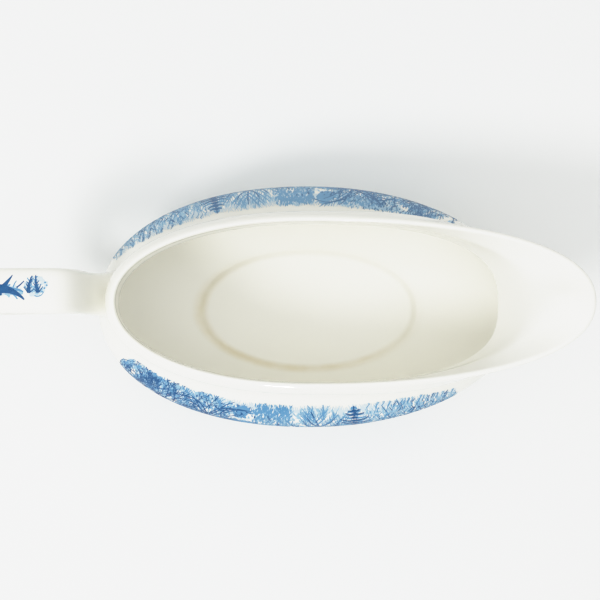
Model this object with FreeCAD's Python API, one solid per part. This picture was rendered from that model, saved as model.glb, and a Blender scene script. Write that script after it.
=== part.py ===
import FreeCAD, Part
import math
import os

from FreeCAD import Vector

# Gravy boat: an oval bulbous bowl drawn out into a pouring lip, an oval foot ring, a raised strap handle
# and the printed decoration, each as its own solid.
#
# Millimetres and degrees. The boat stands on z = 0, +X points to the pouring lip, -X to the handle,
# and +Y is the boat's left side. Its parts are drawn round the middle of the oval foot and then moved
# forwards, so that the origin ends up under the middle of the whole length.

FOOT_FORWARD = 8.93             # from the origin to the middle of the foot

# ---- Driving dimensions of the bowl ----
WALL = 3.6                      # fired wall of the bowl
RIM_WALL = 2.4                  # it thins to this at the rounded top of the rim

FOOT_HEIGHT = 6.0               # height of the foot ring, and of the bowl's flat underside
FOOT_HALF_LENGTH = 45.8         # foot where it meets the bowl
FOOT_HALF_WIDTH = 26.8

BELLY_HEIGHT = 38.0             # level where the bowl is widest
BELLY_REACH_TO_HANDLE = 79.8
BELLY_REACH_TO_LIP = 80.5
BELLY_HALF_WIDTH = 45.8

NECK_HEIGHT = 63.0              # groove under the rim band, beside the bowl
NECK_HEIGHT_AT_HANDLE = 66.0
NECK_HEIGHT_AT_LIP = 58.0       # it dips where the pouring lip begins
NECK_HALF_WIDTH = 32.5
NECK_REACH_TO_HANDLE = 72.8
NECK_REACH_TO_LIP = 73.4

RIM_HEIGHT = 70.4               # outer edge of the rim, beside the bowl
RIM_HEIGHT_AT_HANDLE = 74.0
RIM_HEIGHT_AT_LIP = 80.5
RIM_HALF_WIDTH = 31.6
RIM_REACH_TO_HANDLE = 72.0
RIM_REACH_TO_LIP = 100.4

# Leans of the wall from upright, positive outwards.
NECK_LEAN = 30.0                # where it leaves the groove
RIM_LEAN_OUTSIDE = -35.0        # the rounded band closes in again at the rim
RIM_LEAN_INSIDE = -3.0
LIP_LEAN = 90.0                 # the pouring lip runs out level at its tip
FLARE_PULL = 0.43               # how long the wall above the groove keeps to its leans

WELL_HALF_LENGTH = 41.8         # sunken oval floor inside the bowl
WELL_HALF_WIDTH = 22.8
WELL_STEP = 2.4                 # its depth below the wall around it
WELL_STEP_RUN = 1.6             # how far the rounded step reaches outwards

# ---- Driving dimensions of the foot ring ----
FOOT_SPREAD = 1.6               # how much wider the ring is at the table than under the bowl
FOOT_RING_WIDTH = 5.2           # width of the ring where it meets the bowl
FOOT_ROUND = 1.3                # rounding of its two lower edges

# ---- Driving dimensions of the handle ----
STRAP_WIDTH = 15.9              # across the flat top
STRAP_THICKNESS = 6.4
STRAP_UPPER_WIDTH = 13.8        # where it leaves the bowl
STRAP_LOWER_WIDTH = 10.4        # where it comes back to the bowl
STRAP_LOWER_THICKNESS = 5.4
STRAP_FULLNESS = 3.4            # 2 would be an ellipse, larger is squarer
STRAP_WIDE_FROM = 0.25          # share of its length where it reaches full width
STRAP_NARROWS_FROM = 0.45       # share where it starts to narrow again
JOINT_REACH = 0.04              # share of its length over which it spreads onto the bowl
JOINT_EXTRA_WIDTH = 0.85        # how much wider and thicker it would be at the very end
JOINT_EXTRA_THICKNESS = 0.95
HANDLE_OFFSET = 3.0             # the handle is set a little to the left of the middle plane
HANDLE_TOP = 88.5               # its highest point
HANDLE_REACH = 119.5            # its farthest point behind the middle of the foot

# ---- Driving dimensions of the printed decoration ----
FILM_GAP = 0.03                 # the print sits just proud of the clay
FILM_THICKNESS = 0.17
SIDE_PRINT_TOP = 54.0           # level of the upper edge of the side prints, mid-flank
SIDE_PRINT_DROP = 4.0           # the upper edge sinks towards both ends
SIDE_PRINT_BOTTOM = 12.0
SIDE_PRINT_START = 33.0         # turn from the lip where a side print starts
SIDE_PRINT_END = 157.0          # and where it ends, short of the handle
HANDLE_PRINT_HALF_WIDTH = 5.6
HANDLE_PRINT_FRONT = -90.0      # it covers the flat top between these two places along the boat
HANDLE_PRINT_BACK = -113.0

# ---- Resolution of the free-form surfaces ----
TURNS = 64                      # points round each closed level line
STRAP_TURNS = 28                # points round each handle section
STRAP_SECTIONS = 44             # sections along the handle
SIDE_FILM_GRID = (36, 14)       # points along and up each side print
HANDLE_FILM_GRID = (18, 8)      # points along and across the handle print
NUDGE = 1e-3                    # small step used to find directions on a curve

UP = Vector(0, 0, 1)


def mix(start, end, share):
    return start + (end - start) * share


def swing(start, end, plan_share, height_share):
    """A point between two others, with its own share of the way in plan and in height."""
    point = mix(start, end, plan_share)
    point.z = start.z + (end.z - start.z) * height_share
    return point


def bezier(corners, share):
    """Point on the cubic Bezier curve with these four control points."""
    while len(corners) > 1:
        corners = [mix(a, b, share) for a, b in zip(corners, corners[1:])]
    return corners[0]


class Oval:
    """A closed level line of the bowl, given by the turn round the boat from the pouring lip."""

    def __init__(self, to_handle, to_lip, half_width, height, at_handle=None, at_lip=None,
                 fullness=2.1, lip_fullness=2.1):
        self.to_handle = to_handle
        self.to_lip = to_lip
        self.half_width = half_width
        self.height = height
        self.at_handle = height if at_handle is None else at_handle
        self.at_lip = height if at_lip is None else at_lip
        self.fullness = fullness
        self.lip_fullness = lip_fullness

    def point(self, turn):
        along = math.cos(turn)
        across = math.sin(turn)
        if along > 0:
            reach, end_height, fullness = self.to_lip, self.at_lip, self.lip_fullness
        else:
            reach, end_height, fullness = self.to_handle, self.at_handle, self.fullness
        swell = (abs(along) ** fullness + abs(across) ** fullness) ** (-1 / fullness)
        height = self.height + (end_height - self.height) * along ** 2
        return Vector(reach * along * swell, self.half_width * across * swell, height)

    def outward(self, turn):
        """Level unit vector that points straight out of the line."""
        run = self.point(turn + NUDGE) - self.point(turn - NUDGE)
        return Vector(run.y, -run.x, 0).normalize()

    def inset(self, turn, distance):
        return self.point(turn) - self.outward(turn) * distance


def plain_oval(half_length, half_width, height):
    return Oval(half_length, half_length, half_width, height)


FOOT = plain_oval(FOOT_HALF_LENGTH, FOOT_HALF_WIDTH, FOOT_HEIGHT)
BELLY = Oval(BELLY_REACH_TO_HANDLE, BELLY_REACH_TO_LIP, BELLY_HALF_WIDTH, BELLY_HEIGHT,
             fullness=2.15, lip_fullness=2.05)
NECK = Oval(NECK_REACH_TO_HANDLE, NECK_REACH_TO_LIP, NECK_HALF_WIDTH, NECK_HEIGHT,
            at_handle=NECK_HEIGHT_AT_HANDLE, at_lip=NECK_HEIGHT_AT_LIP, lip_fullness=2.65)
RIM = Oval(RIM_REACH_TO_HANDLE, RIM_REACH_TO_LIP, RIM_HALF_WIDTH, RIM_HEIGHT,
           at_handle=RIM_HEIGHT_AT_HANDLE, at_lip=RIM_HEIGHT_AT_LIP, lip_fullness=2.22)
WELL_FLOOR = plain_oval(WELL_HALF_LENGTH - WELL_STEP_RUN, WELL_HALF_WIDTH - WELL_STEP_RUN,
                        FOOT_HEIGHT + WALL)
WELL_BROW = plain_oval(WELL_HALF_LENGTH + WELL_STEP_RUN, WELL_HALF_WIDTH + WELL_STEP_RUN,
                       FOOT_HEIGHT + WALL + WELL_STEP)


# ---- Profiles of the bowl: four control points of a cubic curve at each turn ----

def towards_lip(turn):
    """1 at the tip of the pouring lip, easing to 0 beside the bowl."""
    return max(math.cos(turn), 0) ** 2


def lean(turn, degrees):
    """Direction that leans this much outwards from upright, at this turn."""
    angle = math.radians(degrees)
    return RIM.outward(turn) * math.sin(angle) + UP * math.cos(angle)


def rim_lean_outside(turn):
    return lean(turn, RIM_LEAN_OUTSIDE + (LIP_LEAN - RIM_LEAN_OUTSIDE) * towards_lip(turn))


def rim_lean_inside(turn):
    return lean(turn, RIM_LEAN_INSIDE + (LIP_LEAN - RIM_LEAN_INSIDE) * towards_lip(turn))


def rim_inner_edge(turn):
    upright = rim_lean_inside(turn)
    outward = RIM.outward(turn)
    across = UP * upright.dot(outward) - outward * upright.z
    return RIM.point(turn) + across * RIM_WALL


def outer_lower(turn):
    foot = FOOT.point(turn)
    belly = BELLY.point(turn)
    return [foot, swing(foot, belly, 0.50, 0.20), swing(foot, belly, 1.0, 0.50), belly]


def outer_shoulder(turn):
    belly = BELLY.point(turn)
    neck = NECK.point(turn)
    return [belly, swing(belly, neck, 0.0, 0.50), swing(belly, neck, 1.0, 0.52), neck]


def flare(neck, neck_lean, rim, rim_lean):
    """Curve from the neck up to the rim that leaves and arrives along two given leans."""
    pull = (rim - neck).Length * FLARE_PULL
    return [neck, neck + neck_lean * pull, rim - rim_lean * pull, rim]


def outer_flare(turn):
    return flare(NECK.point(turn), lean(turn, NECK_LEAN), RIM.point(turn), rim_lean_outside(turn))


def rim_roll(turn):
    """Rounded edge from the outside of the rim to the inside."""
    outer = RIM.point(turn)
    inner = rim_inner_edge(turn)
    rise = RIM_WALL * 2 / 3
    return [outer, outer + rim_lean_outside(turn) * rise, inner + rim_lean_inside(turn) * rise, inner]


def inner_flare(turn):
    neck_lean = lean(turn, NECK_LEAN * towards_lip(turn))
    return flare(NECK.inset(turn, WALL), neck_lean, rim_inner_edge(turn), rim_lean_inside(turn))[::-1]


def inner_shoulder(turn):
    belly = BELLY.inset(turn, WALL)
    neck = NECK.inset(turn, WALL)
    return [neck, swing(belly, neck, 1.0, 0.52), swing(belly, neck, 0.0, 0.50), belly]


def inner_lower(turn):
    brow = WELL_BROW.point(turn)
    belly = BELLY.inset(turn, WALL)
    return [belly, swing(brow, belly, 1.0, 0.46), swing(brow, belly, 0.50, 0.20), brow]


def well_step(turn):
    brow = WELL_BROW.point(turn)
    floor = WELL_FLOOR.point(turn)
    return [brow, swing(brow, floor, 0.4, 0.12), swing(brow, floor, 0.4, 1.0), floor]


# ---- Turning profiles into faces and solids ----

def closed_wall(profile):
    """Smooth face swept right round the boat by a profile."""
    step = 2 * math.pi / TURNS
    columns = [profile(i * step) for i in range(TURNS)]
    poles = []
    for i in range(TURNS):
        before, here, after = columns[i - 1], columns[i], columns[(i + 1) % TURNS]
        # These poles make a uniform cubic spline pass through the points of each level line.
        poles.append([(here[k] * 8 - before[k] - after[k]) * (1 / 6) for k in range(4)])
    surface = Part.BSplineSurface()
    surface.buildFromPolesMultsKnots(poles, [1] * (TURNS + 1), [4, 4], list(range(TURNS + 1)), [0, 1],
                                     True, False, 3, 3)
    return surface.toShape()


def level_edge(face, height):
    """The closed boundary edge of a wall that lies at this height."""
    for edge in face.Edges:
        box = edge.BoundBox
        if box.ZLength < 1e-4 and abs(box.ZMin - height) < 1e-4 and edge.isClosed():
            return edge
    raise ValueError("no closed edge at this height")


def level_face(outer_edge, inner_edge=None):
    face = Part.Face(Part.Wire([outer_edge]))
    if inner_edge is None:
        return face
    return face.cut(Part.Face(Part.Wire([inner_edge]))).Faces[0]


def sewn_solid(faces):
    shell = Part.Compound(faces)
    shell.sewShape()
    solid = Part.Solid(shell.Shells[0])
    if solid.Volume < 0:
        solid.reverse()
    return solid


def bowl_and_lip():
    """The bowl with its pouring lip: one closed wall from the underside, over the rim, to the well."""
    profiles = [outer_lower, outer_shoulder, outer_flare, rim_roll,
                inner_flare, inner_shoulder, inner_lower, well_step]
    walls = [closed_wall(profile) for profile in profiles]
    underside = level_face(level_edge(walls[0], FOOT_HEIGHT))
    floor = level_face(level_edge(walls[-1], WELL_FLOOR.height))
    return sewn_solid(walls + [underside, floor])


# ---- Foot ring ----

def foot_oval(outward, height):
    """Level line of the foot ring, set outward from the edge where it meets the bowl."""
    return plain_oval(FOOT_HALF_LENGTH + outward, FOOT_HALF_WIDTH + outward, height)


def ring_profile(*stops):
    """Profile through four stops, each an outward distance and a height."""
    ovals = [foot_oval(outward, height) for outward, height in stops]
    return lambda turn: [oval.point(turn) for oval in ovals]


def foot_ring():
    outside = FOOT_SPREAD
    inside = FOOT_SPREAD - FOOT_RING_WIDTH
    crown = FOOT_ROUND * 0.45
    outer_side = ring_profile((0, FOOT_HEIGHT), (0, FOOT_HEIGHT * 0.65),
                              (outside, FOOT_HEIGHT * 0.55), (outside, FOOT_ROUND))
    outer_edge = ring_profile((outside, FOOT_ROUND), (outside, crown),
                              (outside - crown, 0), (outside - FOOT_ROUND, 0))
    inner_edge = ring_profile((inside + FOOT_ROUND, 0), (inside + crown, 0),
                              (inside, crown), (inside, FOOT_ROUND))
    inner_side = ring_profile((inside, FOOT_ROUND), (inside, FOOT_HEIGHT * 0.5),
                              (-FOOT_RING_WIDTH, FOOT_HEIGHT * 0.6), (-FOOT_RING_WIDTH, FOOT_HEIGHT))
    walls = [closed_wall(profile) for profile in (outer_side, outer_edge, inner_edge, inner_side)]
    top = level_face(level_edge(walls[0], FOOT_HEIGHT), level_edge(walls[3], FOOT_HEIGHT))
    resting_face = level_face(level_edge(walls[1], 0), level_edge(walls[2], 0))
    return sewn_solid(walls + [top, resting_face])


# ---- Handle ----

def handle_path():
    """Side view of the strap's middle line, over the top from inside the wall to inside the wall."""
    top = HANDLE_TOP - STRAP_THICKNESS / 2
    back = STRAP_THICKNESS / 2 - HANDLE_REACH
    stops = [(-66.0, 56.6), (-72.5, 58.6), (-78.0, 63.6), (-81.3, 71.0), (-83.6, 78.8),
             (-87.6, top - 1.0), (-96.0, top), (-106.0, top - 0.6), (-113.5, top - 5.0),
             (back, top - 15.0), (back + 2.4, top - 29.0), (-106.0, 42.0), (-94.5, 34.0),
             (-85.0, 30.6), (-77.4, 29.6), (-71.0, 29.3)]
    curve = Part.BSplineCurve()
    curve.interpolate([Vector(x, HANDLE_OFFSET, z) for x, z in stops])
    return curve


def ease(share):
    """Smooth step: 0 up to share 0, 1 from share 1."""
    share = min(max(share, 0), 1)
    return share ** 2 * (3 - 2 * share)


def strap_size(share):
    """Width and thickness of the strap at this share of its length."""
    widening = ease(share / STRAP_WIDE_FROM)
    narrowing = ease((share - STRAP_NARROWS_FROM) / (1 - STRAP_NARROWS_FROM))
    width = STRAP_UPPER_WIDTH + (STRAP_WIDTH - STRAP_UPPER_WIDTH) * widening
    width += (STRAP_LOWER_WIDTH - STRAP_WIDTH) * narrowing
    thickness = STRAP_THICKNESS + (STRAP_LOWER_THICKNESS - STRAP_THICKNESS) * narrowing
    spread = math.exp(-share / JOINT_REACH) + math.exp(-(1 - share) / JOINT_REACH)
    return width * (1 + JOINT_EXTRA_WIDTH * spread), thickness * (1 + JOINT_EXTRA_THICKNESS * spread)


class Strap:
    """The handle strap as a surface: share runs along it, turn runs round its section."""

    def __init__(self):
        self.path = handle_path()
        self.first = self.path.FirstParameter
        self.last = self.path.LastParameter

    def frame(self, share):
        parameter = self.first + (self.last - self.first) * share
        along = self.path.tangent(parameter)[0]
        across = Vector(0, 1, 0)
        return self.path.value(parameter), across, across.cross(along)

    def point(self, share, turn):
        middle, across, out = self.frame(share)
        width, thickness = strap_size(share)
        side = math.cos(turn)
        top = math.sin(turn)
        swell = (abs(side) ** STRAP_FULLNESS + abs(top) ** STRAP_FULLNESS) ** (-1 / STRAP_FULLNESS)
        return middle + (across * (width * side) + out * (thickness * top)) * (swell / 2)

    def share_at(self, along):
        """Share of the length at which the upper run of the strap passes this place along the boat."""
        low, high = 0.0, 0.45
        for _ in range(30):
            middle = (low + high) / 2
            if self.frame(middle)[0].x > along:
                low = middle
            else:
                high = middle
        return low

    def section(self, share):
        ring = [self.point(share, 2 * math.pi * i / STRAP_TURNS) for i in range(STRAP_TURNS)]
        curve = Part.BSplineCurve()
        curve.interpolate(ring, PeriodicFlag=True)
        return Part.Wire([curve.toShape()])


def handle(strap, bowl):
    """The strap lofted through its sections, of which the piece outside the bowl's wall is kept."""
    wires = [strap.section(i / (STRAP_SECTIONS - 1)) for i in range(STRAP_SECTIONS)]
    pieces = Part.makeLoft(wires, True, False).cut(bowl).Solids
    return max(pieces, key=lambda piece: piece.Volume)


# ---- Printed decoration: thin films that lie on the clay ----

def film(place, rows, columns):
    """Thin closed solid over a patch. place(u, v) gives a point and a normal for u, v in 0..1."""
    faces = []
    edges = []
    for height in (FILM_GAP, FILM_GAP + FILM_THICKNESS):
        grid = []
        for i in range(rows):
            spots = [place(i / (rows - 1), j / (columns - 1)) for j in range(columns)]
            grid.append([point + direction * height for point, direction in spots])
        surface = Part.BSplineSurface()
        surface.interpolate(grid)
        faces.append(surface.toShape())
        edges.append([surface.uIso(0).toShape(), surface.uIso(1).toShape(),
                      surface.vIso(0).toShape(), surface.vIso(1).toShape()])
    sides = [Part.makeRuledSurface(low, high) for low, high in zip(*edges)]
    return sewn_solid(faces + sides)


def wall_point(turn, climb):
    """Point on the outside of the bowl: climb 0..1 is foot to belly, 1..2 is belly to neck."""
    if climb < 1:
        return bezier(outer_lower(turn), climb)
    return bezier(outer_shoulder(turn), climb - 1)


def wall_normal(turn, climb):
    round_run = wall_point(turn + NUDGE, climb) - wall_point(turn - NUDGE, climb)
    climb_run = wall_point(turn, climb + NUDGE) - wall_point(turn, climb - NUDGE)
    return round_run.cross(climb_run).normalize()


def climb_at(turn, height):
    """The climb where the outside of the bowl reaches this height."""
    low, high = 0.0, 2.0
    for _ in range(30):
        middle = (low + high) / 2
        if wall_point(turn, middle).z < height:
            low = middle
        else:
            high = middle
    return low


def side_print(side):
    """Film on one flank of the bowl; side is +1 for the boat's left and -1 for its right."""
    def place(u, v):
        turn = math.radians(SIDE_PRINT_START + (SIDE_PRINT_END - SIDE_PRINT_START) * u)
        top = SIDE_PRINT_TOP - SIDE_PRINT_DROP * math.cos(turn) ** 2
        height = SIDE_PRINT_BOTTOM + (top - SIDE_PRINT_BOTTOM) * v
        climb = climb_at(turn, height)
        point = wall_point(turn, climb)
        normal = wall_normal(turn, climb)
        return Vector(point.x, point.y * side, point.z), Vector(normal.x, normal.y * side, normal.z)
    return film(place, *SIDE_FILM_GRID)


def handle_print(strap):
    """Film on the flat top of the strap."""
    first_share = strap.share_at(HANDLE_PRINT_FRONT)
    last_share = strap.share_at(HANDLE_PRINT_BACK)
    first_turn = math.acos(HANDLE_PRINT_HALF_WIDTH / (STRAP_WIDTH / 2))
    last_turn = math.pi - first_turn

    def place(u, v):
        share = first_share + (last_share - first_share) * u
        turn = last_turn + (first_turn - last_turn) * v
        round_run = strap.point(share, turn - NUDGE) - strap.point(share, turn + NUDGE)
        along_run = strap.point(share + NUDGE, turn) - strap.point(share - NUDGE, turn)
        return strap.point(share, turn), round_run.cross(along_run).normalize()
    return film(place, *HANDLE_FILM_GRID)


def main():
    os.makedirs("parts", exist_ok=True)
    strap = Strap()
    bowl = bowl_and_lip()
    parts = {
        "bowl": bowl,
        "foot_ring": foot_ring(),
        "handle": handle(strap, bowl),
        "side_print_left": side_print(1),
        "side_print_right": side_print(-1),
        "handle_print": handle_print(strap),
    }
    for name, solid in parts.items():
        solid.translate(Vector(FOOT_FORWARD, 0, 0))
        print(name, solid.isValid(), round(solid.Volume), solid.BoundBox)
        solid.exportStep(os.path.join("parts", name + ".step"))


main()
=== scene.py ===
import math
import random

import bpy
import numpy as np
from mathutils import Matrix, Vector
from mathutils.bvhtree import BVHTree


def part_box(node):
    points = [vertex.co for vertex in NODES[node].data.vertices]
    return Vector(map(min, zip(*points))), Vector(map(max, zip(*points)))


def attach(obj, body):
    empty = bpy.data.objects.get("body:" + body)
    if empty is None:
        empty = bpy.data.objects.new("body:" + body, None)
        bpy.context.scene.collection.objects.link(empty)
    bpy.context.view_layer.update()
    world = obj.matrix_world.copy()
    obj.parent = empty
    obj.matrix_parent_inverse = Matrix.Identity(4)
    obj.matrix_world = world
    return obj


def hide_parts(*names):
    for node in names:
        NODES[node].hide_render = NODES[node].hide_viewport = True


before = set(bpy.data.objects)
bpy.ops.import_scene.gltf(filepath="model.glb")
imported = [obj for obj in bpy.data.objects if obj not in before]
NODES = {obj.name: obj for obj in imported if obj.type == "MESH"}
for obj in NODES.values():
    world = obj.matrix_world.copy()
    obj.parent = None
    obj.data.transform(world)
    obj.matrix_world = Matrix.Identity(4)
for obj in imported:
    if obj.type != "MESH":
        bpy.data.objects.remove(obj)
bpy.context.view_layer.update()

# Looks of the glazed gravy boat. The scene is in metres; the printed drawings are in millimetres.

MM = 0.001

# ---- Where things are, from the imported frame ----
BOWL_LOW, BOWL_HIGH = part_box("bowl")
FOOT_LOW, FOOT_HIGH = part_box("foot_ring")
FOOT_MIDDLE = (FOOT_LOW + FOOT_HIGH) / 2

WELL_HALF_LENGTH = 0.0418       # sunken oval floor inside the bowl, round the middle of the foot
WELL_HALF_WIDTH = 0.0228

# ---- Printed drawings ----
PRINT_HEIGHT = 47.0             # height of a side print along the wall, in millimetres
HANDLE_END = 160.0              # turn from the lip, in degrees, of a side print's two ends
LIP_END = 38.0
FLANK_COLUMNS = 161             # places looked up along a flank and up the wall
FLANK_LEVELS = 61
STRAP_COLUMNS = 41              # and along and across the handle
STRAP_LEVELS = 21
SKIN_ROWS = 61                  # rows kept in every skin
LEFT_PRINT_PAINTED_PALLOR = 0.6           # the left print, on the far side, is paler and greyer than the right one: painted shade and glaze sheen; it reaches this much further round towards the handle, in degrees, and lies this much higher there
LEFT_PRINT_LONGER = 4.2         # reaches this much further round towards the handle, in degrees,
LEFT_PRINT_ASKEW = 0.0018       # and lies this much higher there
WOODLAND_SEED = 5
SPRIG_SEED = 3
INK_COAT = 0.45                 # the glaze over the print mirrors less than the glaze on white clay
INK_PALLOR_FADE = 0.2                # how far an ink fades to a pale grey-blue in a paled print: painted shade and glaze sheen

# ---- Light: strengths are relative to a white card that shows as white ----
HORIZON = 0.32                  # the surround at the horizon and overhead
ZENITH = 1.75
GATHER = 3.0                    # how closely the brightness gathers round the zenith
NEAR_SIDE = 0.22                # how much brighter it is on the near side, and darker on the far side
NEAR_TINT = (1.0, 1.01, 1.02, 1.0)   # colour of the surround on the near side, and warmer on the far side
FAR_TINT = (1.0, 0.985, 0.90, 1.0)
WINDOW = (-0.52, -0.52, 1.0)    # direction from the boat to the window
WINDOW_DISTANCE = 1.25
WINDOW_WIDTH = 0.34
WINDOW_POWER = 6.5
GLINT = (-0.05, -1.0, 0.5)      # a small lamp on the near side that only shows mirrored in the glaze
GLINT_WIDTH = 0.08
GLINT_POWER = 4.0

# ---- Exposure: scene brightness and how bright it shows; highlights are rolled off softly ----
BRIGHTEST = 2.0
ROLL_OFF = ((0.0, 0.0), (0.35, 0.35), (0.62, 0.62), (0.80, 0.765), (0.95, 0.847),
            (1.10, 0.893), (1.40, 0.925))

# ---- Camera: almost straight above the boat, leaning a little to its near side ----
CAMERA_DISTANCE = 0.6
CAMERA_ELEVATION = 86.9         # degrees above the table
CAMERA_ROLL = 0.12
CAMERA_LENS = 94.7              # millimetres, on a sensor this wide
CAMERA_SENSOR = 36.0
AIM_BEHIND = 0.0032             # it aims this far behind the middle of the foot
AIM_LEFT = 0.00235              # and this far to the boat's left
AIM_HEIGHT = 0.04               # half way up the boat


# ---- Materials ----

def srgb(red, green, blue):
    """An 8-bit display colour as a linear colour with alpha."""
    linear = []
    for value in (red, green, blue):
        value = value / 255
        linear.append(value / 12.92 if value <= 0.04045 else ((value + 0.055) / 1.055) ** 2.4)
    return (*linear, 1.0)


class Graph:
    """Short way to write a node tree that ends in a Principled shader."""

    def __init__(self, name):
        self.material = bpy.data.materials.new(name)
        self.material.use_nodes = True
        self.tree = self.material.node_tree
        self.shader = self.tree.nodes["Principled BSDF"]
        self.place = self.add("ShaderNodeTexCoord").outputs["Object"]

    def add(self, kind, inputs=None, **settings):
        node = self.tree.nodes.new(kind)
        for key, value in settings.items():
            setattr(node, key, value)
        for key, value in (inputs or {}).items():
            self.feed(node.inputs[key], value)
        return node

    def feed(self, socket, value):
        if isinstance(value, bpy.types.NodeSocket):
            self.tree.links.new(value, socket)
        else:
            socket.default_value = value

    def noise(self, size, detail=3.0, roughness=0.5):
        """Soft random pattern whose features are about this large, in metres."""
        inputs = {"Vector": self.place, "Scale": 1 / size, "Detail": detail, "Roughness": roughness}
        return self.add("ShaderNodeTexNoise", inputs).outputs["Fac"]

    def ramp(self, value, low, high, start=0.0, end=1.0):
        """start below low, end above high, smooth in between."""
        inputs = {"Value": value, "From Min": low, "From Max": high, "To Min": start, "To Max": end}
        return self.add("ShaderNodeMapRange", inputs, interpolation_type="SMOOTHSTEP").outputs["Result"]

    def math(self, operation, first, second=0.0):
        node = self.add("ShaderNodeMath", operation=operation)
        self.feed(node.inputs[0], first)
        self.feed(node.inputs[1], second)
        return node.outputs["Value"]

    def mix(self, share, first, second):
        node = self.add("ShaderNodeMix", data_type="RGBA")
        self.feed(node.inputs["Factor"], share)
        self.feed(node.inputs["A"], first)
        self.feed(node.inputs["B"], second)
        return node.outputs["Result"]

    def bump(self, *layers):
        """Stacks bump layers, each a pattern and its height in metres."""
        normal = None
        for pattern, height in layers:
            node = self.add("ShaderNodeBump", {"Height": pattern, "Distance": height, "Strength": 1.0})
            if normal is not None:
                self.feed(node.inputs["Normal"], normal)
            normal = node.outputs["Normal"]
        self.feed(self.shader.inputs["Normal"], normal)

    def glassy(self, roughness, coat_roughness):
        """A clear glossy glaze over a duller body."""
        self.feed(self.shader.inputs["Roughness"], roughness)
        self.feed(self.shader.inputs["Specular IOR Level"], 0.0)
        self.feed(self.shader.inputs["Coat Weight"], 1.0)
        self.feed(self.shader.inputs["Coat Roughness"], coat_roughness)
        self.feed(self.shader.inputs["Coat IOR"], 1.5)

    def colour(self, value):
        self.feed(self.shader.inputs["Base Color"], value)


def glaze_colour(graph, clay, warm):
    """Off-white with slow warm drifts and a few pale iron specks."""
    drift = graph.ramp(graph.noise(0.06, 1.0), 0.3, 0.75)
    colour = graph.mix(graph.math("MULTIPLY", drift, 0.5), clay, warm)
    specks = graph.add("ShaderNodeTexVoronoi", {"Vector": graph.place, "Scale": 1 / 0.009})
    speck = graph.ramp(specks.outputs["Distance"], 0.02, 0.035, 1.0, 0.0)
    rare = graph.ramp(graph.add("ShaderNodeSeparateColor", {"Color": specks.outputs["Color"]}).outputs["Red"],
                      0.965, 0.975)
    return graph.mix(graph.math("MULTIPLY", graph.math("MULTIPLY", speck, rare), 0.35), colour,
                     srgb(150, 140, 118))


def pooled_glaze_and_painted_shade(graph, colour):
    """Warmer ring where the glaze collected along the edge of the sunken floor, tinted most on the near left,
    where the ring lies in shade: that part is painted shade.
    """
    middle = graph.add("ShaderNodeVectorMath", {0: graph.place, 1: (FOOT_MIDDLE.x, 0.0, 0.0)},
                       operation="SUBTRACT").outputs["Vector"]
    shrink = (1 / WELL_HALF_LENGTH, 1 / WELL_HALF_WIDTH, 0.0)
    scaled = graph.add("ShaderNodeVectorMath", {0: middle, 1: shrink}, operation="MULTIPLY").outputs["Vector"]
    out = graph.add("ShaderNodeVectorMath", {0: scaled}, operation="LENGTH").outputs["Value"]
    ring = graph.math("MULTIPLY", graph.ramp(out, 0.93, 1.02), graph.ramp(out, 1.02, 1.13, 1.0, 0.0))
    # the tint grows towards the near left, where the ring lies in shade: painted shade
    towards = graph.add("ShaderNodeVectorMath", {0: scaled, 1: (-0.65, -0.76, 0.0)},
                        operation="DOT_PRODUCT").outputs["Value"]
    share = graph.math("MULTIPLY", ring, graph.ramp(towards, -0.7, 1.0, 0.1, 1.0))
    patchy = graph.ramp(graph.noise(0.008, 2.0), 0.25, 0.7, 0.55, 1.0)
    return graph.mix(graph.math("MULTIPLY", share, patchy), colour, srgb(228, 219, 195))


def glaze_surface(graph):
    """Thin glassy coat with orange peel and a slow waviness from the mould."""
    peel = graph.noise(0.0022, 2.0)
    waves = graph.noise(0.022, 1.0)
    graph.bump((waves, 0.00022), (peel, 0.000012))
    graph.glassy(graph.ramp(graph.noise(0.02, 2.0), 0.3, 0.7, 0.28, 0.32),
                 graph.ramp(graph.noise(0.01, 3.0), 0.3, 0.75, 0.035, 0.06))


def cream_glaze(name, pooled_and_shaded=False):
    graph = Graph(name)
    colour = glaze_colour(graph, srgb(246, 245, 237), srgb(246, 244, 231))
    # the bowl's pooled glaze ring carries painted shade on its near left
    graph.colour(pooled_glaze_and_painted_shade(graph, colour) if pooled_and_shaded else colour)
    glaze_surface(graph)
    return graph.material


def foot_glaze(name):
    """Glaze that thins out to wiped bare clay on the edge the boat stands on."""
    graph = Graph(name)
    height = graph.add("ShaderNodeSeparateXYZ", {"Vector": graph.place}).outputs["Z"]
    ragged = graph.math("ADD", height, graph.math("MULTIPLY", graph.noise(0.004, 4.0), 0.0008))
    bare = graph.ramp(ragged, 0.0007, 0.0012, 1.0, 0.0)
    glazed = glaze_colour(graph, srgb(246, 245, 237), srgb(244, 241, 229))
    graph.colour(graph.mix(bare, glazed, srgb(214, 200, 172)))
    glaze_surface(graph)
    graph.feed(graph.shader.inputs["Coat Weight"], graph.math("SUBTRACT", 1.0, bare))
    graph.feed(graph.shader.inputs["Roughness"], graph.math("ADD", 0.28, graph.math("MULTIPLY", bare, 0.55)))
    return graph.material


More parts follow.
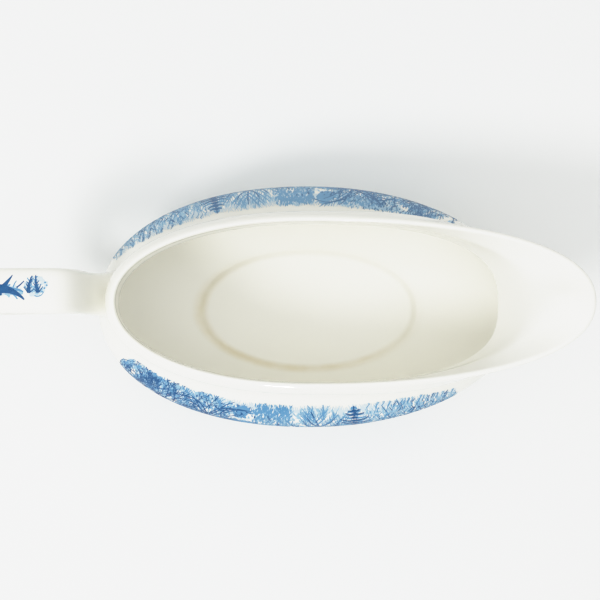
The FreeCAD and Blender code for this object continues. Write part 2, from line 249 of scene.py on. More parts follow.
def ink(name, tone, paler, painted_pallor):
    """Printed colour under a fine film of clear glaze, stippled and mottled like an engraved transfer.

    The last argument is 0 for a full print; towards 1 the inks are paled and greyed all over, painted shade
    and glaze sheen for the print on the far side.
    """
    graph = Graph(name)
    mottle = graph.ramp(graph.noise(0.004, 3.0), 0.3, 0.7, painted_pallor, min(0.45 + painted_pallor, 1.0))
    stipple = graph.ramp(graph.noise(0.00035, 2.0), 0.48, 0.62, 0.0, 0.6)
    share = graph.math("MAXIMUM", mottle, stipple)
    # in a paled print the inks fade towards pale grey-blue: painted shade and glaze sheen
    graph.colour(graph.mix(INK_PALLOR_FADE * painted_pallor, graph.mix(share, tone, paler), srgb(206, 220, 228)))
    glaze_surface(graph)
    graph.feed(graph.shader.inputs["Coat Weight"], INK_COAT)
    return graph.material


def print_inks(name, painted_pallor):
    """The four strengths of cobalt of one print, palest first."""
    return [ink(name + "_pale", srgb(198, 214, 224), srgb(210, 223, 229), painted_pallor),
            ink(name + "_soft", srgb(148, 184, 208), srgb(160, 197, 220), painted_pallor),
            ink(name + "_middle", srgb(84, 140, 183), srgb(112, 164, 202), painted_pallor),
            ink(name + "_deep", srgb(20, 72, 124), srgb(58, 112, 162), painted_pallor)]


# ---- Skins: where the flat drawings lie on the clay ----

class Skin:
    """A patch of the clay's surface, addressed in millimetres: s runs along it and t climbs it."""

    def __init__(self, columns, top):
        """columns: lists of points on the surface, bottom to top. top: height of the drawing."""
        places = np.array([resample(np.array(column), SKIN_ROWS) for column in columns])
        middle = places[:, SKIN_ROWS // 2]
        runs = np.linalg.norm(np.diff(middle, axis=0), axis=1)
        along = np.concatenate([[0.0], np.cumsum(runs)])
        self.length = along[-1] / MM
        self.top = top
        even = np.linspace(0.0, along[-1], len(columns))
        self.places = np.stack([[np.interp(even, along, places[:, row, axis]) for axis in range(3)]
                                for row in range(SKIN_ROWS)], axis=0).transpose(2, 0, 1)
        sideways = smoothed_slope(self.places, 0)
        upwards = smoothed_slope(self.places, 1)
        normals = np.cross(sideways, upwards)
        self.normals = normals / np.linalg.norm(normals, axis=2, keepdims=True)

    def at(self, marks):
        """Points and normals for an array of (s, t) pairs."""
        columns, rows = self.places.shape[:2]
        across = np.clip(marks[:, 0] / self.length, 0.0, 1.0) * (columns - 1)
        up = np.clip(marks[:, 1] / self.top, 0.0, 1.0) * (rows - 1)
        i = np.minimum(across.astype(int), columns - 2)
        j = np.minimum(up.astype(int), rows - 2)
        a = (across - i)[:, None]
        b = (up - j)[:, None]
        found = []
        for table in (self.places, self.normals):
            low = table[i, j] * (1 - a) + table[i + 1, j] * a
            high = table[i, j + 1] * (1 - a) + table[i + 1, j + 1] * a
            found.append(low * (1 - b) + high * b)
        return found[0], found[1] / np.linalg.norm(found[1], axis=1, keepdims=True)


def resample(points, count):
    """The same open line with this many evenly spaced points."""
    runs = np.linalg.norm(np.diff(points, axis=0), axis=1)
    along = np.concatenate([[0.0], np.cumsum(runs)])
    even = np.linspace(0.0, along[-1], count)
    return np.stack([np.interp(even, along, points[:, axis]) for axis in range(3)], axis=1)


def smoothed_slope(places, axis, reach=3):
    """Slope of the surface along one direction, taken over a few steps so facets don't show."""
    pad = [(0, 0)] * 3
    pad[axis] = (reach, reach)
    wide = np.pad(places, pad, mode="reflect", reflect_type="odd")
    count = places.shape[axis]
    ahead = np.take(wide, range(2 * reach, 2 * reach + count), axis=axis)
    behind = np.take(wide, range(0, count), axis=axis)
    return ahead - behind


def surface_of(name):
    """Ray-castable surface of a CAD node in scene coordinates."""
    node = NODES[name]
    points = [node.matrix_world @ vertex.co for vertex in node.data.vertices]
    return BVHTree.FromPolygons(points, [list(face.vertices) for face in node.data.polygons])


def flank_skin(side):
    """Outside of the bowl under the rim; side -1 is the boat's right flank, +1 its left."""
    low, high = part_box("side_print_right" if side < 0 else "side_print_left")
    clay = surface_of("bowl")
    reach = (BOWL_HIGH.x - BOWL_LOW.x) / 2
    columns = []
    # Seen from outside, a drawing starts at its left: the handle end of the right flank.
    first, last, askew = HANDLE_END, LIP_END, 0.0
    if side > 0:
        first, last, askew = LIP_END, HANDLE_END + LEFT_PRINT_LONGER, LEFT_PRINT_ASKEW
    for i in range(FLANK_COLUMNS):
        share = i / (FLANK_COLUMNS - 1)
        turn = math.radians(first + (last - first) * share)
        across = math.cos(turn)
        foot = Vector((FOOT_MIDDLE.x + across * reach * 0.5, 0.0, 0.0))
        outside = Vector((FOOT_MIDDLE.x + across * reach, side * math.sin(turn) * reach, 0.0))
        column = []
        for row in range(FLANK_LEVELS):
            height = low.z + askew * share + (high.z - low.z) * row / (FLANK_LEVELS - 1)
            level = Vector((0.0, 0.0, height))
            hit = clay.ray_cast(outside + level, (foot - outside).normalized())[0]
            column.append(hit)
        columns.append(column)
    return Skin(columns, PRINT_HEIGHT)


def handle_skin():
    """Flat top of the strap; s runs towards the bowl and t towards the boat's left."""
    low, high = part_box("handle_print")
    clay = surface_of("handle")
    columns = []
    for i in range(STRAP_COLUMNS):
        x = low.x + (high.x - low.x) * i / (STRAP_COLUMNS - 1)
        column = []
        for row in range(STRAP_LEVELS):
            y = low.y + (high.y - low.y) * row / (STRAP_LEVELS - 1)
            hit = clay.ray_cast(Vector((x, y, high.z * 1.2)), Vector((0, 0, -1)))[0]
            column.append(hit)
        columns.append(column)
    return Skin(columns, (high.y - low.y) / MM)


# ---- Drawing ----

PALE, SOFT, MID, DARK = range(4)
FLAT, DOMED, RIBBON = range(3)  # how the face of a mark is filled
LAYERS = (0.05, 0.07, 0.09, 0.11)   # height of each ink's face above the clay
LAYER_SPREAD = 0.015            # marks of one ink differ a little, so none lie in one plane
FINEST = 0.26                   # width of the thinnest twig
SINK = 0.05                     # every mark reaches this far into the clay
UPRIGHT = math.pi / 2


def heading(angle, length):
    return length * math.cos(angle), length * math.sin(angle)


class Drawing:
    """Marks of one printed drawing, in millimetres on a skin."""

    def __init__(self, seed, length, height):
        self.random = random.Random(seed)
        self.length = length
        self.height = height
        self.marks = []

    def near(self, value, spread):
        return value + self.random.uniform(-spread, spread)

    def skyline(self, s):
        """Upper limit of the drawing at this place."""
        return self.height

    def inside(self, s, t, edge=0.0):
        return edge < s < self.length - edge and edge < t < self.skyline(s) - edge

    # -- Single marks --

    def stroke(self, points, start_width, end_width, tone):
        """A tapering line through these points."""
        if len(points) < 2 or not all(self.inside(s, t, 0.2) for s, t in points):
            return
        left = []
        right = []
        for i, (s, t) in enumerate(points):
            before = points[max(i - 1, 0)]
            after = points[min(i + 1, len(points) - 1)]
            angle = math.atan2(after[1] - before[1], after[0] - before[0])
            share = i / (len(points) - 1)
            ds, dt = heading(angle + math.pi / 2, (start_width + (end_width - start_width) * share) / 2)
            left.append((s + ds, t + dt))
            right.append((s - ds, t - dt))
        self.marks.append((right + left[::-1], RIBBON, tone))

    def dab(self, s, t, length, width, angle, tone, corners=6):
        """An uneven rounded spot."""
        if not self.inside(s, t, max(length, width) / 2):
            return
        outline = []
        for i in range(corners):
            turn = 2 * math.pi * i / corners
            size = self.near(1.0, 0.16)
            a, b = length / 2 * size * math.cos(turn), width / 2 * size * math.sin(turn)
            outline.append((s + a * math.cos(angle) - b * math.sin(angle),
                            t + a * math.sin(angle) + b * math.cos(angle)))
        self.marks.append((outline, DOMED if length > 2.2 else FLAT, tone))

    def blade(self, s, t, length, width, angle, tone):
        """A pointed leaf with its middle here."""
        if not self.inside(s, t, length / 2):
            return
        ds, dt = heading(angle, length / 2)
        side_s, side_t = heading(angle + math.pi / 2, width / 2)
        self.marks.append(([(s - ds, t - dt), (s - side_s + ds * 0.2, t - side_t + dt * 0.2),
                            (s + ds, t + dt), (s + side_s, t + side_t)], FLAT, tone))

    # -- Groups of marks --

    def curl(self, s, t, angle, length, bend, steps=5, wobble=0.1):
        """Points of a line that sets out at this angle and bends, more or less steadily."""
        points = [(s, t)]
        for _ in range(steps):
            ds, dt = heading(angle, length / steps)
            s, t = s + ds, t + dt
            angle += bend / steps + self.near(0.0, wobble)
            points.append((s, t))
        return points, angle

    def wash(self, s, t, wide, high, tone, size=3.0, cover=1.0):
        """Fills an oval area with overlapping spots."""
        step = size * 0.62
        rows = int(high / step) + 1
        columns = int(wide / step) + 1
        for row in range(-rows, rows + 1):
            for column in range(-columns, columns + 1):
                ds, dt = self.near(column * step, step * 0.35), self.near(row * step, step * 0.35)
                if (ds / wide) ** 2 + (dt / high) ** 2 > 1 or self.random.random() > cover:
                    continue
                self.dab(s + ds, t + dt, self.near(size, size * 0.2), self.near(size * 0.85, size * 0.15),
                         self.near(0, 1.5), tone)

    def foliage(self, s, t, wide, high, density, soft, dark, size=1.5):
        """Leaves that point away from the clump's foot. soft and dark: shares of these two inks."""
        for _ in range(int(wide * high * density)):
            turn = self.random.uniform(0.0, 2 * math.pi)
            out = math.sqrt(self.random.random())
            ds, dt = out * wide / 2 * math.cos(turn), out * high / 2 * math.sin(turn)
            angle = math.atan2(dt + high * 0.75, ds) + self.near(0.0, 0.4)
            pick = self.random.random() + 0.3 * dt / high
            tone = SOFT if pick > 1.0 - soft else DARK if pick < dark else MID
            self.blade(s + ds, t + dt, self.near(size, size * 0.35), self.near(size * 0.36, 0.08),
                       angle, tone)

    def spray(self, s, t, angle, reach, spread, count, tone, width=0.5):
        """A fan of fine twigs that grow from one place and straighten up."""
        for i in range(count):
            turn = angle + spread * (2 * i / max(count - 1, 1) - 1) + self.near(0.0, 0.08)
            twig, _ = self.curl(s, t, turn, reach * self.near(0.85, 0.15), (angle - turn) * 0.7, 4)
            self.stroke(twig, width, FINEST, tone)

    def branches(self, s, t, angle, length, width, forks, spread, tone, tips):
        """A branch that forks again and again; collects where its twigs end."""
        points, end_angle = self.curl(s, t, angle, length, self.near(0, 0.5), 4)
        self.stroke(points, width, max(width * 0.62, FINEST), tone)
        s, t = points[-1]
        if forks == 0:
            tips.append((s, t, end_angle))
            return
        for side in (-1, 1):
            turned = end_angle + side * spread * self.near(1.0, 0.35)
            self.branches(s, t, turned, length * self.near(0.76, 0.1), max(width * 0.62, FINEST),
                          forks - 1, spread, tone, tips)
        if self.random.random() < 0.35:
            self.branches(s, t, self.near(end_angle, 0.2), length * 0.6, max(width * 0.5, FINEST),
                          max(forks - 2, 0), spread, tone, tips)


# ---- Woodland: what the side prints show ----

GROUND = 10.0                   # level the trees stand on
CROWN = 45.2                    # level their crowns reach over most of the print


class Woodland(Drawing):
    """A drawing with ragged ends, whose upper limit falls from the close trees to the last shrubs."""

    def skyline(self, s):
        share = s / self.length
        near_end = 2.4 * max(0.0, 1.0 - share / 0.42)
        far_end = 4.6 * (max(0.0, share - 0.84) / 0.16) ** 1.5
        corner = 7.0 * max(0.0, 1.0 - s / 5.0) ** 1.5
        return CROWN + near_end - far_end - corner

    def inside(self, s, t, edge=0.0):
        ragged = max(0.0, 1.0 - t / 40.0) * (2.2 + 1.2 * math.sin(1.3 * t) + 0.8 * math.sin(3.1 * t))
        return ragged < s < self.length - ragged and super().inside(s, t, edge)


def trunk(drawing, s, base, height, width, lean=0.0):
    """A shaded tree trunk; returns its top."""
    points, angle = drawing.curl(s, base, UPRIGHT - lean, height, drawing.near(lean, 0.15), 6)
    drawing.stroke(points, width, width * 0.6, DARK)
    light = [(a - width * 0.2, b) for a, b in points[:-1]]
    drawing.stroke(light, width * 0.25, width * 0.1, MID)
    for side in (-1, 1):
        root, _ = drawing.curl(s + side * width * 0.2, base + 0.6, -0.5 if side > 0 else math.pi + 0.5,
                               width * 1.1, -side * 0.5, 3)
        drawing.stroke(root, width * 0.5, 0.2, DARK)
    return points[-1][0], points[-1][1], angle


def leafy_tree(drawing, s, base, height, wide, dark=0.3, lean=0.0):
    """Broad tree: dark boughs that end in clumps of pointed leaves."""
    top_s, top_t, angle = trunk(drawing, s, base, height * 0.3, wide * 0.075, lean)
    tips = []
    for turn in (-0.85, -0.3, 0.3, 0.85):
        drawing.branches(top_s, top_t, angle + turn, height * drawing.near(0.24, 0.03), wide * 0.045, 3, 0.42,
                         DARK, tips)
    for tip_s, tip_t, _ in tips:
        tip_t = min(tip_t, base + height - 1.5)
        drawing.dab(tip_s, tip_t - 0.8, 2.8, 2.4, drawing.near(0, 1.0), SOFT)
        drawing.foliage(tip_s, tip_t - 0.4, 4.4, 4.6, 0.62, 0.55, dark)
        drawing.spray(tip_s, tip_t, UPRIGHT, 2.6, 0.8, 3, MID, 0.42)


def arching_tree(drawing, s, base, height, wide):
    """Old tree whose long boughs arch over and hang, with light between them."""
    top_s, top_t, _ = trunk(drawing, s, base, height * 0.5, wide * 0.085)
    drawing.foliage(s, base + height * 0.68, wide * 1.1, height * 0.5, 0.7, 0.7, 0.04, 1.7)
    drawing.foliage(s, base + height * 0.88, wide * 1.25, height * 0.22, 1.3, 0.55, 0.05, 1.6)
    for side in (-1, 1):
        for i in range(8):
            reach = height * drawing.near(0.24 + 0.055 * i, 0.05)
            out = UPRIGHT - side * (0.95 - 0.11 * i)
            bend = -side * drawing.near(1.7 + 0.08 * i, 0.4)
            bough, _ = drawing.curl(top_s, top_t - height * 0.03 * (4 - i), out, reach, bend, 9, 0.3)
            drawing.stroke(bough, 0.8, 0.3, DARK)
            fork, _ = drawing.curl(*bough[4], UPRIGHT - side * 0.3, reach * 0.35, -side * 0.8, 4, 0.3)
            drawing.stroke(fork, 0.5, 0.25, DARK)
            for a, b in bough[3:]:
                drawing.spray(a, b, UPRIGHT - side * 0.5, 2.7, 0.5, 2, MID, 0.4)
                drawing.blade(a + side * 0.6, b - 1.0, 1.8, 0.7, -UPRIGHT + side * 0.4, MID)


def round_tree(drawing, s, base, height, wide):
    """Close-leaved tree: almost solid, darker underneath, with a bristling edge."""
    trunk(drawing, s, base, height * 0.45, wide * 0.09)
    lobes = ((-0.24, 0.58, 0.29), (0.24, 0.56, 0.30), (0.0, 0.42, 0.29), (0.0, 0.83, 0.33))
    for share_s, share_t, size in lobes:
        crown_s = s + share_s * wide
        crown_t = base + share_t * height
        reach = size * wide
        drawing.wash(crown_s, crown_t, reach, reach * 1.1, MID, 2.2)
        drawing.foliage(crown_s, crown_t + reach * 0.3, reach * 2.3, reach * 2.3, 0.9, 0.25, 0.15)
        drawing.foliage(crown_s - reach * 0.2, crown_t - reach * 0.7, reach * 1.6, reach, 1.4, 0.0, 0.6, 1.3)
        drawing.spray(crown_s, crown_t, UPRIGHT, reach * 1.25, 1.3, 9, MID, 0.6)


def thicket(drawing, start, end, base, high, low):
    """A bank of dense foliage made of upright tufts, dark at the foot with slits of light."""
    s = start
    step = 1.5
    while s < end:
        rise = 0.5 + 0.5 * math.cos((s - start) / (end - start) * 4 * math.pi)
        height = high + (low - high) * rise
        for share in (0.2, 0.45, 0.7, 0.9):
            drawing.foliage(drawing.near(s, 0.4), base + height * share, 3.0, height * 0.3, 0.8,
                            0.35, 0.4 - 0.5 * share, 2.0)
        column, _ = drawing.curl(s, base + height * 0.3, UPRIGHT, height * 0.62, 0.0, 4)
        drawing.stroke(column, 1.5, 1.1, MID if drawing.random.random() < 0.45 else SOFT)
        drawing.spray(s, base + height * 0.86, UPRIGHT, height * 0.12, 0.6, 4, MID, 0.55)
        s += drawing.near(step, 0.3)


def bare_tree(drawing, s, base, height, wide):
    """Leafless tree whose fine boughs fan out and turn up on both sides of a dark trunk."""
    top_s, top_t, _ = trunk(drawing, s, base, height * 0.36, wide * 0.055)
    crown, _ = drawing.curl(top_s, top_t, UPRIGHT, height * 0.56, 0.12, 7)
    drawing.stroke(crown, wide * 0.05, 0.4, DARK)
    drawing.foliage(s, base + height * 0.74, wide, height * 0.46, 0.22, 1.0, 0.0, 2.2)
    for side in (-1, 1):
        for i in range(9):
            share = i / 8
            root_s, root_t = crown[min(int(share * 5), 5)]
            reach = wide * (0.66 - 0.38 * share)
            out = UPRIGHT - side * (1.15 - 0.55 * share)
            bend = side * (0.75 - 0.35 * share)
            bough, _ = drawing.curl(root_s, root_t + 0.8 * (i % 2), out, reach, bend, 8)
            drawing.stroke(bough, 0.6, 0.28, MID if i % 3 else DARK)
            for j, (a, b) in enumerate(bough[2:]):
                tone = SOFT if (i + j) % 2 else MID
                drawing.spray(a, b, UPRIGHT - side * 0.2, 3.6, 0.5, 2, tone, 0.36)


def conifer(drawing, s, base, height, wide):
    """Fir: a dark heart with long drooping boughs that turn up at their ends."""
    tiers = int(height / 2.2)
    for tier in range(tiers):
        share = tier / (tiers - 1)
        t = base + height * (0.14 + 0.80 * share)
        reach = wide / 2 * (1.0 - share) ** 0.72 + 0.9
        for side in (-1, 1):
            run = reach * drawing.near(1.0, 0.14)
            bough, _ = drawing.curl(s, t, UPRIGHT - side * 1.72, run, side * 0.95, 6)
            drawing.stroke(bough, 1.2, FINEST, DARK if tier % 3 else MID)
            for a, b in bough[1:6]:
                needle, _ = drawing.curl(a, b, side * 0.5 - UPRIGHT, drawing.near(1.2, 0.3), 0.2, 2)
                drawing.stroke(needle, 0.45, FINEST, MID)
            drawing.dab(s + side * reach * 0.36, t - 0.4, reach * 0.7, 1.1, side * -0.2, SOFT)
        drawing.dab(s, t, min(reach * 0.8, 2.0 + 1.4 * share), 1.7, 0.0, DARK)
    tip = [(s, base + height * (0.1 + 0.86 * i / 6)) for i in range(7)]
    drawing.stroke(tip, 2.0, 0.5, DARK)


def shrubs(drawing, start, end, base, crown_share, dark):
    """Bushes of upright leaning twigs with pointed leaves, over a pale body."""
    s = start
    while s < end:
        crown = min(CROWN, drawing.skyline(s)) - base
        height = crown * drawing.near(crown_share, 0.03)
        for share in (0.2, 0.42, 0.62, 0.78):
            drawing.foliage(s, base + height * share, 3.6, height * 0.3, 0.42, 0.75, 0.05, 1.9)
        for side in (-1, 0, 1):
            stem, _ = drawing.curl(s + side * 0.8, base + height * 0.1, UPRIGHT - side * 0.18 - 0.08,
                                   height * drawing.near(0.84, 0.05), drawing.near(-0.15, 0.15), 9)
            drawing.stroke(stem, 0.5, 0.28, DARK if drawing.random.random() < dark else MID)
            for j, (a, b) in enumerate(stem[2:]):
                lean = 0.55 if j % 2 else -0.45
                tone = DARK if drawing.random.random() < dark else MID if j % 3 else SOFT
                drawing.spray(a, b, UPRIGHT - lean, 2.9, 0.14, 1, tone, 0.42)
                drawing.blade(a + math.sin(lean) * 1.6, b + 1.9, 1.5, 0.55, UPRIGHT - lean, SOFT)
        s += drawing.near(2.5, 0.4)


def undergrowth(drawing):
    """Low bushes and distant trunks between the trees."""
    s = 4.0
    while s < 100.0:
        high = drawing.near(7.0, 2.5)
        angle = drawing.near(UPRIGHT, 0.08)
        far_trunk, _ = drawing.curl(s + 2.0, GROUND + 1.0, angle, drawing.near(22.0, 3.0), 0.0, 6)
        drawing.stroke(far_trunk, 0.8, 0.4, SOFT)
        drawing.dab(s, GROUND + high * 0.4, 4.2, high * 0.7, 0.0, SOFT)
        drawing.foliage(s, GROUND + high * 0.45, 5.2, high, 0.65, 0.3, 0.16, 1.5)
        s += drawing.near(4.6, 1.2)


def backdrop(drawing, base):
    """Pale distant foliage behind everything, ragged along its top."""
    s = 1.6
    while s < drawing.length - 1.4:
        top = drawing.skyline(s) - drawing.near(3.4, 0.9)
        column, _ = drawing.curl(s, base, UPRIGHT, top - base, 0.0, 10)
        drawing.stroke(column, 1.9, 1.5, PALE)
        drawing.spray(s, top - 0.6, UPRIGHT, 3.2, 0.5, 3, PALE, 0.8)
        drawing.foliage(s, base + (top - base) * 0.6, 1.8, (top - base) * 0.8, 0.16, 1.0, 0.0, 2.4)
        s += 1.45


def ground(drawing, level):
    """Hatched bank with grass under the trees and ripples below it."""
    s = 3.0
    while s < drawing.length - 3.0:
        rise = 1.2 * math.sin(s * 0.11) + 0.7 * math.sin(s * 0.29 + 1.0)
        drawing.dab(s, level + rise - 1.6, 4.6, 2.8, drawing.near(0, 0.15), PALE)
        drawing.dab(s, level + rise - 3.6, 4.2, 2.4, drawing.near(0, 0.15), PALE)
        if drawing.random.random() < 0.8:
            drawing.dab(drawing.near(s, 0.8), level + rise - drawing.random.uniform(0.4, 3.4),
                        drawing.near(3.0, 1.2), 0.6, drawing.near(0, 0.1), MID)
        drawing.spray(s, level + rise - drawing.random.uniform(0.0, 2.2), UPRIGHT, 1.9, 0.5, 3,
                      DARK if drawing.random.random() < 0.45 else MID, 0.42)
        s += 1.3
    for row in range(5):
        t = level - 5.4 - row * 0.95
        s = drawing.random.uniform(2.0, 6.0)
        while s < drawing.length - 8.0:
            run = drawing.random.uniform(3.0, 9.0) * (1 - row * 0.1)
            points = [(s + run * i / 5, t + 0.12 * math.sin(s + i)) for i in range(6)]
            drawing.stroke(points, 0.38, FINEST, MID if drawing.random.random() < 0.7 else SOFT)
            s += run + drawing.random.uniform(1.0, 5.0)


def woodland(seed, length):
    """One flank: close wood at its start, thinning to shrubs towards its end."""
    drawing = Woodland(seed, length, PRINT_HEIGHT)
    reach = CROWN - GROUND
    backdrop(drawing, GROUND - 2.0)
    ground(drawing, GROUND)
    undergrowth(drawing)
    shrubs(drawing, 117.0, length - 1.0, GROUND, 0.97, 0.12)
    shrubs(drawing, 108.0, 117.0, GROUND, 1.0, 0.4)
    shrubs(drawing, 101.0, 108.0, GROUND, 0.96, 0.04)
    bare_tree(drawing, 81.5, GROUND - 0.5, reach, 25.0)
    conifer(drawing, 95.4, GROUND - 0.5, reach + 0.4, 25.0)
    thicket(drawing, 57.8, 70.5, GROUND, reach, reach - 2.2)
    round_tree(drawing, 52.0, GROUND - 0.5, reach + 0.6, 9.5)
    arching_tree(drawing, 39.5, GROUND - 0.8, reach + 1.0, 15.0)
    leafy_tree(drawing, 26.0, GROUND - 0.3, reach + 1.4, 22.0, 0.26, 0.1)
    leafy_tree(drawing, 13.5, GROUND - 0.6, reach + 2.2, 20.0, 0.32, -0.05)
    leafy_tree(drawing, 5.0, GROUND - 0.6, reach + 2.2, 12.0, 0.2, -0.1)
    return drawing


def sprig(seed, length, height):
    """Small branch on top of the handle: one bold leaf, twigs and dotted leaves."""
    drawing = Drawing(seed, length, height)
    drawing.wash(12.0, 6.6, 4.6, 1.6, PALE, 1.6)
    drawing.wash(13.6, 5.4, 3.4, 1.0, SOFT, 1.2, 0.8)
    drawing.wash(21.3, 8.0, 3.8, 3.4, PALE, 1.5, 0.8)
    drawing.wash(20.9, 6.8, 3.0, 1.5, SOFT, 1.1, 0.6)
    bold, _ = drawing.curl(7.4, 5.4, 0.74, 8.6, 0.24, 7, 0.0)
    drawing.stroke(bold, 3.0, FINEST, DARK)
    drawing.stroke([(9.0, 6.2), (7.4, 5.8), (5.8, 6.0), (4.2, 6.8)], 3.0, FINEST, DARK)
    drawing.stroke([(9.8, 6.8), (11.2, 7.8), (12.4, 8.6)], 1.6, 0.4, MID)
    stem, _ = drawing.curl(8.2, 7.0, -0.02, 10.2, -0.85, 8, 0.0)
    drawing.stroke(stem, 3.4, 0.5, DARK)
    drawing.stroke([(10.6, 7.0), (12.8, 7.0), (15.4, 6.6), (17.0, 6.0)], 1.7, 0.4, MID)
    drawing.stroke([(11.4, 6.0), (13.4, 5.2), (15.0, 3.4)], 0.8, 0.4, MID)
    drawing.stroke([(14.6, 7.4), (15.8, 8.3), (17.2, 9.7)], 0.6, 0.4, DARK)
    drawing.stroke([(13.4, 7.6), (13.9, 8.9), (14.6, 9.8)], 0.5, 0.3, MID)
    for s, t in ((19.0, 5.6), (22.1, 5.7)):
        plume, _ = drawing.curl(s, t, 1.75, 6.2, -0.35, 6, 0.2)
        drawing.stroke(plume, 1.5, 0.3, DARK)
        for i, (a, b) in enumerate(plume[:-1]):
            for side in (-1, 1):
                reach = drawing.near(2.1 - 0.3 * i, 0.5)
                twig, _ = drawing.curl(a, b, UPRIGHT - side * 0.95, reach, side * 0.5, 3, 0.25)
                drawing.stroke(twig, 0.55, FINEST, DARK if (i + side) % 3 else MID)
                drawing.blade(*twig[-1], 0.9, 0.5, UPRIGHT - side * 0.6, MID)
    low, _ = drawing.curl(20.9, 4.6, -0.3, 4.0, 1.5, 5)
    drawing.stroke(low, 0.4, FINEST, MID)
    for s, t in ((24.4, 7.2), (25.2, 8.2), (24.6, 9.2), (23.6, 6.0)):
        drawing.dab(s, t, 0.8, 0.7, 0.0, MID)
    return drawing


# ---- Meshes ----

def prism(outline, filling, height, points, faces):
    """Adds one closed mark to a mesh: points get (s, t, height), faces get their corners."""
    first = len(points)
    count = len(outline)
    points += [(s, t, height) for s, t in outline]
    points += [(s, t, -SINK) for s, t in outline]
    top = range(first, first + count)
    under = range(first + count, first + 2 * count)
    if filling == RIBBON:
        for i in range(count // 2 - 1):
            corners = (i, i + 1, count - 2 - i, count - 1 - i)
            faces.append([top[k] for k in corners])
            faces.append([under[k] for k in reversed(corners)])
    else:
        faces.append(list(reversed(under)))
        if filling == FLAT:
            faces.append(list(top))
        else:
            middle = len(points)
            points.append((sum(s for s, t in outline) / count, sum(t for s, t in outline) / count, height))
            faces += [[middle, top[i], top[(i + 1) % count]] for i in range(count)]
    faces += [[under[i], under[(i + 1) % count], top[(i + 1) % count], top[i]] for i in range(count)]


def print_object(name, skin, drawing, node, painted_pallor=0.0):
    """One print as a single mesh of closed marks that lie on the clay."""
    points = []
    faces = []
    tones = []
    for outline, filling, tone in drawing.marks:
        already = len(faces)
        height = LAYERS[tone] + drawing.random.uniform(0.0, LAYER_SPREAD)
        prism(outline, filling, height, points, faces)
        tones += [tone] * (len(faces) - already)
    flat = np.array(points)
    places, normals = skin.at(flat[:, :2])
    mesh = bpy.data.meshes.new(name)
    mesh.from_pydata((places + normals * flat[:, 2:] * MM).tolist(), [], faces)
    for material in print_inks(name, painted_pallor):
        mesh.materials.append(material)
    mesh.polygons.foreach_set("material_index", tones)
    mesh.shade_smooth()
    mesh.normals_split_custom_set_from_vertices(normals.tolist())
    print_piece = bpy.data.objects.new(name, mesh)
    bpy.context.scene.collection.objects.link(print_piece)
    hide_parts(node)
    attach(print_piece, "root")


# ---- Stage ----

def stage_floor():
    """A pale sweep: flat under the boat and curving up far away on every side."""
    flat = 1.5
    rings = [0.0, 0.4, 0.9, flat] + [flat + 0.12 * i for i in range(1, 16)]
    steps = 72
    vertices = [(0.0, 0.0, 0.0)]
    for radius in rings[1:]:
        rise = max(radius - flat, 0.0) ** 2 * 0.55
        for i in range(steps):
            turn = 2 * math.pi * i / steps
            vertices.append((radius * math.cos(turn), radius * math.sin(turn), rise))
    faces = [(0, 1 + i, 1 + (i + 1) % steps) for i in range(steps)]
    for ring in range(len(rings) - 2):
        start = 1 + ring * steps
        for i in range(steps):
            j = (i + 1) % steps
            faces.append((start + i, start + steps + i, start + steps + j, start + j))
    mesh = bpy.data.meshes.new("floor")
    mesh.from_pydata(vertices, [], faces)
    mesh.shade_smooth()
    floor = bpy.data.objects.new("floor", mesh)
    bpy.context.scene.collection.objects.link(floor)
    graph = Graph("floor_paper")
    paper = graph.mix(graph.noise(0.3, 2.0), srgb(245, 246, 245), srgb(246, 247, 246))
    distance = graph.add("ShaderNodeVectorMath", {0: graph.place}, operation="LENGTH").outputs["Value"]
    # the sweep is painted greyer away from the boat: painted fall-off of light, which also dims the light the
    # far floor throws back
    graph.colour(graph.mix(graph.ramp(distance, 0.7, 2.2), paper, srgb(196, 198, 198)))
    graph.feed(graph.shader.inputs["Roughness"], 0.75)
    graph.feed(graph.shader.inputs["Specular IOR Level"], 0.2)
    mesh.materials.append(graph.material)


def aim(thing, target):
    direction = Vector(target) - thing.location
    thing.rotation_euler = direction.to_track_quat("-Z", "Y").to_euler()


def lamp(name, direction, width, power):
    """A round lamp that shines on the middle of the boat from this direction."""
    boat = Vector((0.0, 0.0, AIM_HEIGHT))
    data = bpy.data.lights.new(name, "AREA")
    data.shape = "DISK"
    data.size = width
    data.energy = power
    light = bpy.data.objects.new(name, data)
    light.location = boat + Vector(direction).normalized() * WINDOW_DISTANCE
    bpy.context.scene.collection.objects.link(light)
    aim(light, boat)
    return light


def stage_lamps():
    """The window, which isn't mirrored in the glaze, and the glint, which is nothing but a mirror image."""
    lamp("window", WINDOW, WINDOW_WIDTH, WINDOW_POWER).visible_glossy = False
    lamp("glint", GLINT, GLINT_WIDTH, GLINT_POWER).visible_diffuse = False


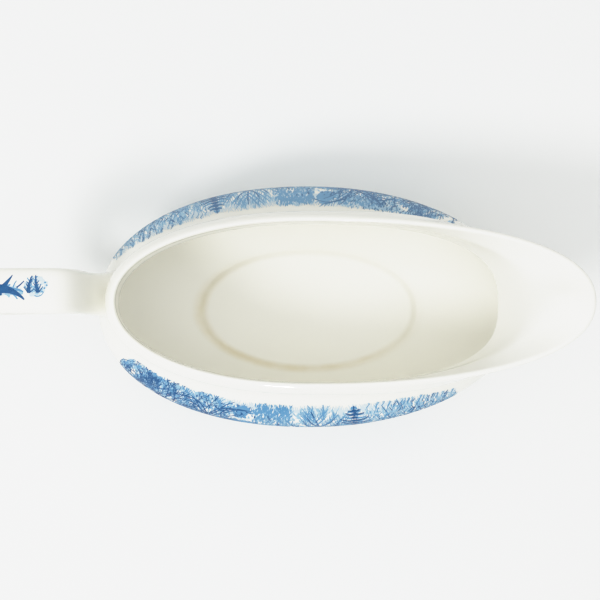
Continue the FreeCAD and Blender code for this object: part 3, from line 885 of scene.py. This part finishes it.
def stage_surround():
    """A white surround, brighter overhead and on the near side, and warmer on the far side."""
    world = bpy.data.worlds.new("surround")
    bpy.context.scene.world = world
    world.use_nodes = True
    tree = world.node_tree
    split = tree.nodes.new("ShaderNodeSeparateXYZ")
    tree.links.new(tree.nodes.new("ShaderNodeTexCoord").outputs["Generated"], split.inputs["Vector"])
    gathered = tree.nodes.new("ShaderNodeMath")
    gathered.operation = "POWER"
    tree.links.new(split.outputs["Z"], gathered.inputs[0])
    gathered.inputs[1].default_value = GATHER
    overhead = tree.nodes.new("ShaderNodeMapRange")
    overhead.inputs["To Min"].default_value = HORIZON
    overhead.inputs["To Max"].default_value = ZENITH
    tree.links.new(gathered.outputs["Value"], overhead.inputs["Value"])
    sideways = tree.nodes.new("ShaderNodeMath")
    sideways.operation = "MULTIPLY_ADD"
    tree.links.new(split.outputs["Y"], sideways.inputs[0])
    sideways.inputs[1].default_value = -NEAR_SIDE
    tree.links.new(overhead.outputs["Result"], sideways.inputs[2])
    farness = tree.nodes.new("ShaderNodeMapRange")
    farness.inputs["From Min"].default_value = 0.0
    farness.inputs["From Max"].default_value = 0.9
    tree.links.new(split.outputs["Y"], farness.inputs["Value"])
    tint = tree.nodes.new("ShaderNodeMix")
    tint.data_type = "RGBA"
    tree.links.new(farness.outputs["Result"], tint.inputs["Factor"])
    tint.inputs["A"].default_value = NEAR_TINT
    tint.inputs["B"].default_value = FAR_TINT
    background = tree.nodes["Background"]
    tree.links.new(tint.outputs["Result"], background.inputs["Color"])
    tree.links.new(sideways.outputs["Value"], background.inputs["Strength"])


def stage_camera():
    elevation = math.radians(CAMERA_ELEVATION)
    target = Vector((FOOT_MIDDLE.x - AIM_BEHIND, AIM_LEFT, AIM_HEIGHT))
    away = Vector((0, -math.cos(elevation), math.sin(elevation)))
    data = bpy.data.cameras.new("camera")
    data.sensor_width = CAMERA_SENSOR
    data.lens = CAMERA_LENS
    data.clip_start = 0.01
    camera = bpy.data.objects.new("camera", data)
    camera.location = target + away * CAMERA_DISTANCE
    camera.rotation_euler = (math.pi / 2 - elevation, 0.0, math.radians(CAMERA_ROLL))
    bpy.context.scene.collection.objects.link(camera)
    bpy.context.scene.camera = camera


def exposure():
    """Plain display colours with a soft roll-off, the way a bright studio picture is exposed."""
    view = bpy.context.scene.view_settings
    view.view_transform = "Standard"
    view.use_curve_mapping = True
    mapping = view.curve_mapping
    mapping.white_level = (BRIGHTEST, BRIGHTEST, BRIGHTEST)
    curve = mapping.curves[3]
    for bright, shown in ROLL_OFF[1:]:
        curve.points.new(bright / BRIGHTEST, shown)
    mapping.update()


def glaze_node(name, material):
    NODES[name].data.materials.clear()
    NODES[name].data.materials.append(material)


def main():
    glaze_node("bowl", cream_glaze("bowl_glaze", pooled_and_shaded=True))
    glaze_node("handle", cream_glaze("handle_glaze"))
    glaze_node("foot_ring", foot_glaze("foot_glaze"))
    for side, name, painted_pallor in ((-1, "right", 0.0), (1, "left", LEFT_PRINT_PAINTED_PALLOR)):
        skin = flank_skin(side)
        drawing = woodland(WOODLAND_SEED, skin.length)
        print_object("woodland_" + name, skin, drawing, "side_print_" + name, painted_pallor)
    skin = handle_skin()
    print_object("handle_sprig", skin, sprig(SPRIG_SEED, skin.length, skin.top), "handle_print")
    stage_floor()
    stage_surround()
    stage_lamps()
    stage_camera()
    exposure()


main()
